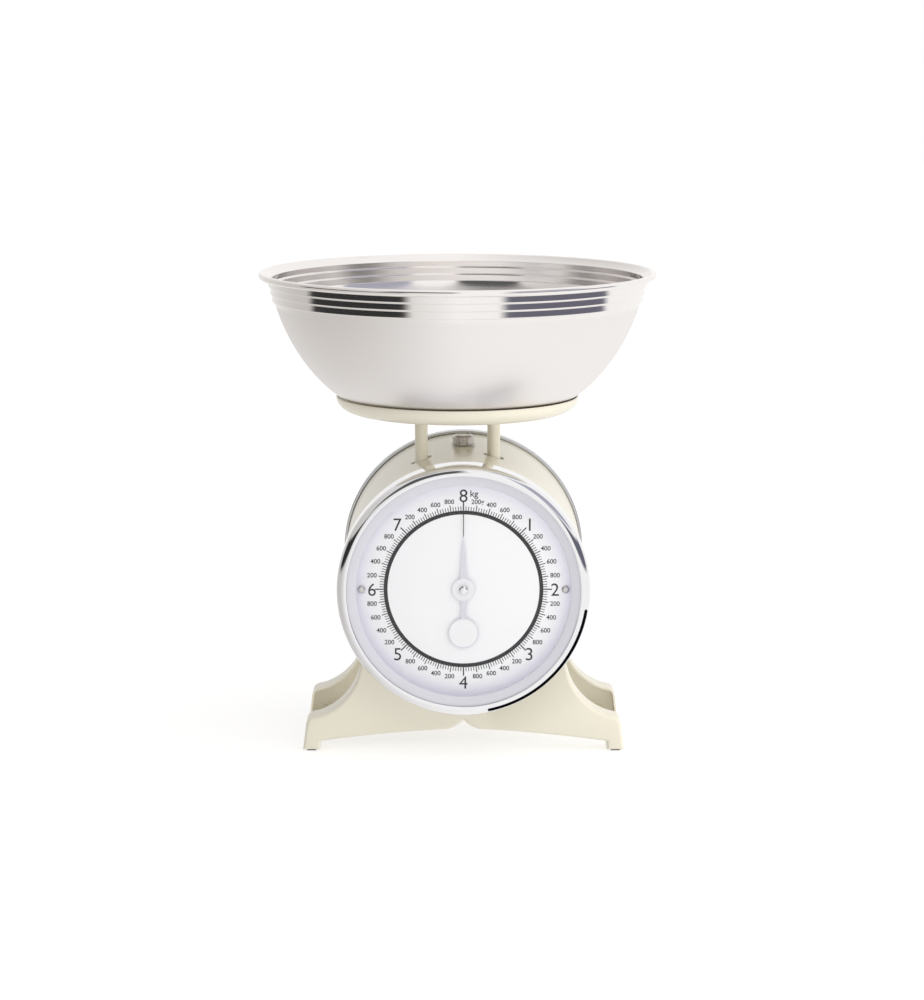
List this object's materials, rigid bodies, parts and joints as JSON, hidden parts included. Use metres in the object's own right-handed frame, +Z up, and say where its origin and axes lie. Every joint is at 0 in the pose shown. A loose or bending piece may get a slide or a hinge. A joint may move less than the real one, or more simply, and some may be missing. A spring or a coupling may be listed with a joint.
{
  "type": "mechanical kitchen scale",
  "caption": "Ivory drum-shaped spring kitchen scale with a round dial, a zero knob on top, pressed sheet stands and a lift-off steel bowl on a sliding tray.",
  "frame": {"origin": "on the table top below the axis of the bowl and of the tray's two posts", "axes": "+Z up; the dial faces -Y; +X is to the right when the dial is read"},
  "size_m": [0.245, 0.245, 0.2925],
  "materials": {
    "ivory_paint": "glossy ivory stove enamel",
    "polished_steel": "bright spun stainless steel, satin below a polished lip",
    "bezel_chrome": "bright chrome plate",
    "rim_metal": "satin plated steel",
    "knob_metal": "knurled nickel plate",
    "dial_ring_grey": "satin light grey",
    "lens_clear": "clear flat lens",
    "dial_white": "satin white with black print",
    "pointer_metal": "satin light grey",
    "zinc_steel": "zinc plated sheet",
    "screw_steel": "bright zinc plate",
    "spring_steel": "oiled spring wire",
    "brass": "plain turned brass",
    "nylon": "natural nylon",
    "black_rubber": "matt black rubber"
  },
  "bodies": {
    "housing": {"drum_shell": "ivory_paint", "front_bulkhead": "zinc_steel", "bezel": "bezel_chrome", "dial_ring": "dial_ring_grey", "lens": "lens_clear", "lens_spacer": "dial_white", "dial_plate": "dial_white", "dial_screw_left": "screw_steel", "dial_screw_right": "screw_steel", "dial_spacer_left": "zinc_steel", "dial_spacer_right": "zinc_steel", "rear_rim": "rim_metal", "rear_cover": "ivory_paint", "rear_screw_1": "screw_steel", "rear_screw_2": "screw_steel", "rear_screw_3": "screw_steel", "front_stand": "ivory_paint", "rear_stand": "ivory_paint", "stand_screw_front_left": "screw_steel", "stand_screw_front_right": "screw_steel", "stand_screw_rear_left": "screw_steel", "stand_screw_rear_right": "screw_steel", "rubber_foot_front_left": "black_rubber", "rubber_foot_front_right": "black_rubber", "rubber_foot_rear_left": "black_rubber", "rubber_foot_rear_right": "black_rubber", "movement_frame": "zinc_steel", "frame_screw_1": "screw_steel", "frame_screw_2": "screw_steel", "frame_screw_3": "screw_steel", "frame_screw_4": "screw_steel", "post_bush_upper_left": "nylon", "post_bush_upper_right": "nylon", "post_bush_lower_left": "nylon", "post_bush_lower_right": "nylon", "shaft_bracket": "zinc_steel", "shaft_bush_front": "brass", "shaft_bush_rear": "brass", "zero_collar": "brass", "overload_stop_left": "black_rubber", "overload_stop_right": "black_rubber"},
    "platform": {"tray": "ivory_paint", "tray_screw_left": "screw_steel", "tray_screw_right": "screw_steel", "post_left": "ivory_paint", "post_right": "ivory_paint", "carrier_yoke": "zinc_steel", "drive_rack": "brass"},
    "bowl": {"bowl": "polished_steel"},
    "pointer": {"pointer": "pointer_metal", "pointer_cap": "bezel_chrome", "pointer_shaft": "zinc_steel", "drive_pinion": "brass"},
    "zero_knob": {"zero_knob": "knob_metal", "zero_screw": "zinc_steel"},
    "spring_hanger": {"spring_hanger": "zinc_steel", "spring_left": "spring_steel", "spring_right": "spring_steel"}
  },
  "joints": [
    {"name": "platform_slide", "type": "slide", "parent": "housing", "child": "platform", "axis": [0, 0, -1], "range_m": [0, 0.01759], "stiffness_N_per_m": 4460, "springref_m": -0.0028, "deforming": ["spring_left", "spring_right"]},
    {"name": "bowl_lift", "type": "slide", "parent": "platform", "child": "bowl", "axis": [0, 0, 1], "range_m": [0, 0.1]},
    {"name": "pointer_turn", "type": "hinge", "parent": "housing", "child": "pointer", "pos_m": [0.0037, -0.03, 0.1042], "axis": [0, 1, 0], "range_deg": [0, 360]},
    {"name": "zero_knob_turn", "type": "hinge", "parent": "housing", "child": "zero_knob", "pos_m": [0.0037, 0.029, 0.1822], "axis": [0, 0, 1], "range_deg": [-360, 360]},
    {"name": "hanger_slide", "type": "slide", "parent": "housing", "child": "spring_hanger", "axis": [0, 0, 1], "range_m": [-0.001, 0.001]}
  ],
  "couplings": [
    {"joint": "pointer_turn", "follows": "platform_slide", "rad_per_m": 357.14},
    {"joint": "hanger_slide", "follows": "zero_knob_turn", "m_per_rad": -0.00015915}
  ]
}
